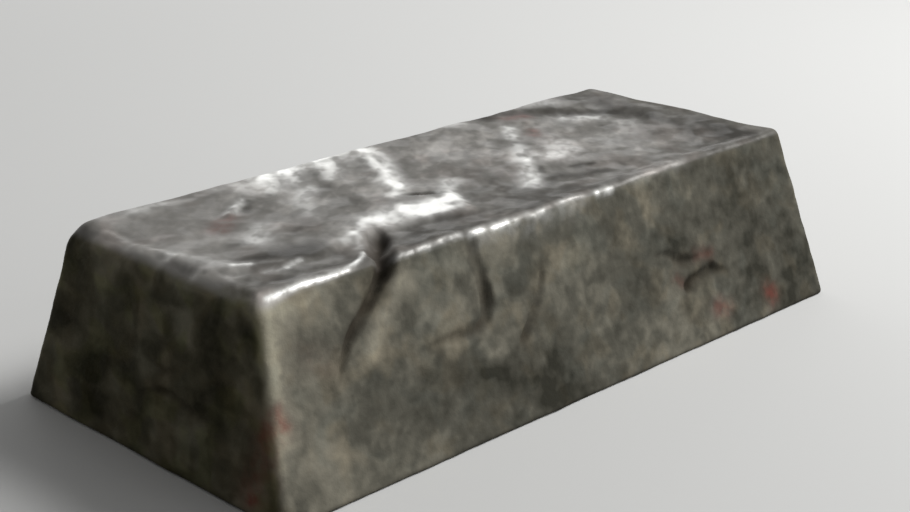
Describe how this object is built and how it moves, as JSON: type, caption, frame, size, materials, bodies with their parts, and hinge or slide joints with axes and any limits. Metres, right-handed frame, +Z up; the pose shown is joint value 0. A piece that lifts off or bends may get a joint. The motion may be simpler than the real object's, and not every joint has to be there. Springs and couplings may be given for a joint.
{
  "type": "iron ingot",
  "caption": "Cast iron ingot: a long block with sloping sides that lies on its wide face, with a sunken, lapped top and cracks and folds from casting.",
  "frame": {"origin": "middle of the resting face, on the surface that the ingot lies on", "axes": "+X along the ingot, +Y across it towards the back, +Z up out of the narrow top face"},
  "size_m": [0.2496, 0.123, 0.058],
  "materials": {
    "iron": "as cast, dull grey with worn bright rims and a little rust"
  },
  "bodies": {
    "root": {"iron_ingot": "iron"}
  },
  "joints": []
}
